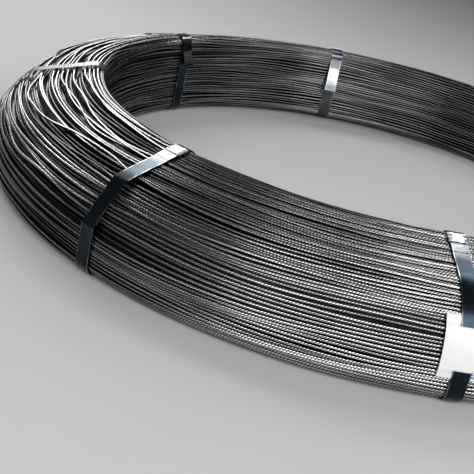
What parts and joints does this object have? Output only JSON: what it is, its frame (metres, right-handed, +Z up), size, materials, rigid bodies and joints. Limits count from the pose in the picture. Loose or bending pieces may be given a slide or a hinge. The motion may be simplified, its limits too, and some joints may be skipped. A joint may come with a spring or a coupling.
{
  "type": "coil of spring steel wire",
  "caption": "Ring-shaped coil of ribbed spring steel wire lying on its side, bound by flat steel straps with crimped seals, with a blank white label on the outer side.",
  "frame": {"origin": "centre of the coil at floor level, under its straps", "axes": "+Z up along the coil's axis, +X through strap_1; the label is at -Y"},
  "size_m": [1.8036, 1.8036, 0.2231],
  "materials": {
    "wire": "dark oiled drawn steel with spiral ribs",
    "strap": "blued steel strapping, satin",
    "seal": "bright zinc plated steel",
    "label": "matt white tag sheet"
  },
  "bodies": {
    "root": {"wire_coil": "wire", "strap_1": "strap", "strap_2": "strap", "strap_3": "strap", "strap_4": "strap", "strap_5": "strap", "strap_6": "strap", "strap_7": "strap", "strap_8": "strap", "seal_1": "seal", "seal_2": "seal", "seal_3": "seal", "seal_4": "seal", "seal_5": "seal", "seal_6": "seal", "seal_7": "seal", "seal_8": "seal", "label": "label"}
  },
  "joints": []
}
